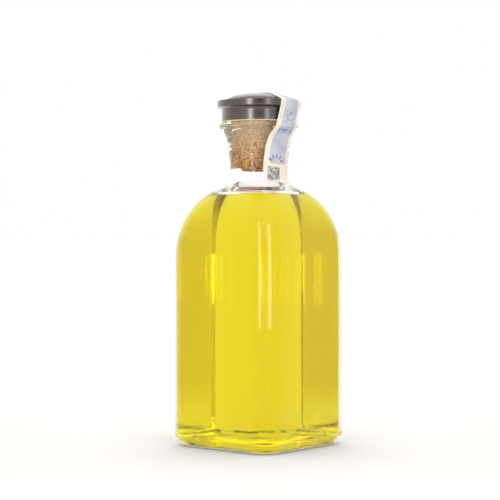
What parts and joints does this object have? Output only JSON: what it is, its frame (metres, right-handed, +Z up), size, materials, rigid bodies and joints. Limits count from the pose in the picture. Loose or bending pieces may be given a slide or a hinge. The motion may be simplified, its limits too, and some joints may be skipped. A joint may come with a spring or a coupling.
{
  "type": "liqueur bottle",
  "caption": "Square clear glass liqueur bottle with domed shoulders and flared neck, full of yellow drink, shut by a metal-headed cork under a paper seal strip.",
  "frame": {"origin": "centre of the base, on the plane the bottle stands on", "axes": "+Z up the bottle's axis; the four flat sides face +X, -X, +Y and -Y; the seal strip's front end is on the +X side"},
  "size_m": [0.082, 0.082, 0.2206],
  "materials": {
    "clear_glass": "clear, smooth",
    "yellow_liqueur": "clear bright yellow liquid",
    "natural_cork": "natural cork, dark pores",
    "dark_polished_metal": "polished dark gunmetal",
    "printed_paper": "matt paper with a pale printed band"
  },
  "bodies": {
    "root": {"bottle_glass": "clear_glass", "liqueur": "yellow_liqueur", "cork": "natural_cork", "stopper_cap": "dark_polished_metal", "seal_strip": "printed_paper"}
  },
  "joints": []
}
